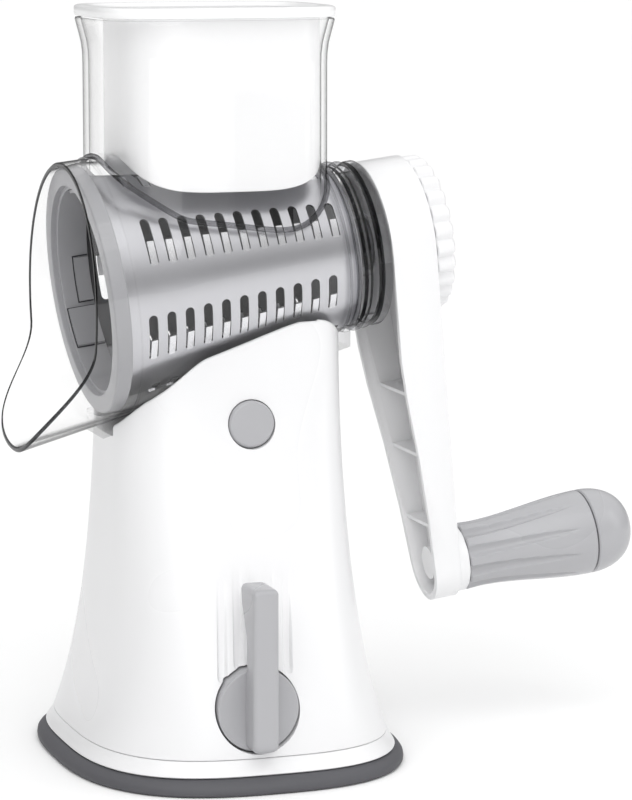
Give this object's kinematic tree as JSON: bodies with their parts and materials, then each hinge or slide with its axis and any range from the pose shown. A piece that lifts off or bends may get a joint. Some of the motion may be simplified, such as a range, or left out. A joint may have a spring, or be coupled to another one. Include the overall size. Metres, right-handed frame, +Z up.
{
  "type": "rotary cheese grater",
  "caption": "Hand-cranked rotary cheese grater: slotted metal drum in a clear barrel with hopper and pusher, on a white tower with a suction foot.",
  "frame": {"origin": "centre of the rubber foot's underside", "axes": "+Z up out of the foot, +X towards the crank, -Y towards the front with the release button and the suction lever"},
  "size_m": [0.2507, 0.1578, 0.285],
  "materials": {
    "white_plastic": "satin gloss white",
    "grey_plastic": "satin grey",
    "rubber": "matte dark grey",
    "steel": "satin bright",
    "clear_plastic": "clear moulded plastic"
  },
  "bodies": {
    "stand": {"body_shell": "white_plastic", "trim_skirt": "white_plastic", "suction_pad": "rubber", "base_plate": "grey_plastic", "base_screw_1": "steel", "base_screw_2": "steel", "base_screw_3": "steel", "base_screw_4": "steel", "clear_barrel": "clear_plastic", "shaft_bush": "grey_plastic", "button_spring": "steel"},
    "crank": {"crank_arm": "white_plastic", "drive_shaft": "steel", "drum": "steel", "drum_front_ring": "grey_plastic", "drum_rear_hub": "grey_plastic", "handle_spindle": "steel", "handle_washer": "steel", "handle_screw": "steel"},
    "grip": {"handle_grip": "grey_plastic", "grip_end_cap": "grey_plastic"},
    "knob": {"lock_knob": "white_plastic"},
    "plunger": {"pusher": "white_plastic"},
    "button": {"release_button": "grey_plastic", "latch_plate": "white_plastic"},
    "lever": {"suction_lever": "grey_plastic", "cam_shaft": "steel", "shaft_clip": "steel"},
    "stem": {"suction_stem": "steel"}
  },
  "joints": [
    {"name": "crank_turn", "type": "hinge", "parent": "stand", "child": "crank", "pos_m": [0.05507, 0, 0.19293], "axis": [0.9914, 0, 0.1305], "continuous": true},
    {"name": "grip_spin", "type": "hinge", "parent": "crank", "child": "grip", "pos_m": [0.12256, 0, 0.07099], "axis": [0.9914, 0, 0.1305], "continuous": true},
    {"name": "lock_knob_turn", "type": "hinge", "parent": "crank", "child": "knob", "pos_m": [0.08085, 0, 0.19632], "axis": [0.9914, 0, 0.1305], "range_deg": [0, 60]},
    {"name": "pusher_lift", "type": "slide", "parent": "stand", "child": "plunger", "axis": [0, 0, 1], "range_m": [0, 0.12]},
    {"name": "button_press", "type": "slide", "parent": "stand", "child": "button", "axis": [0, 1, 0], "range_m": [0, 0.003], "stiffness_N_per_m": 400, "deforming": ["button_spring"]},
    {"name": "suction_lever_turn", "type": "hinge", "parent": "stand", "child": "lever", "pos_m": [-0.0052, 0, 0.0297], "axis": [0, 1, 0], "range_deg": [0, 90]},
    {"name": "stem_lift", "type": "slide", "parent": "stand", "child": "stem", "axis": [0, 0, 1], "range_m": [0, 0.004]}
  ],
  "couplings": [
    {"joint": "suction_lever_turn", "follows": "stem_lift", "rad_per_m": 392.7}
  ]
}
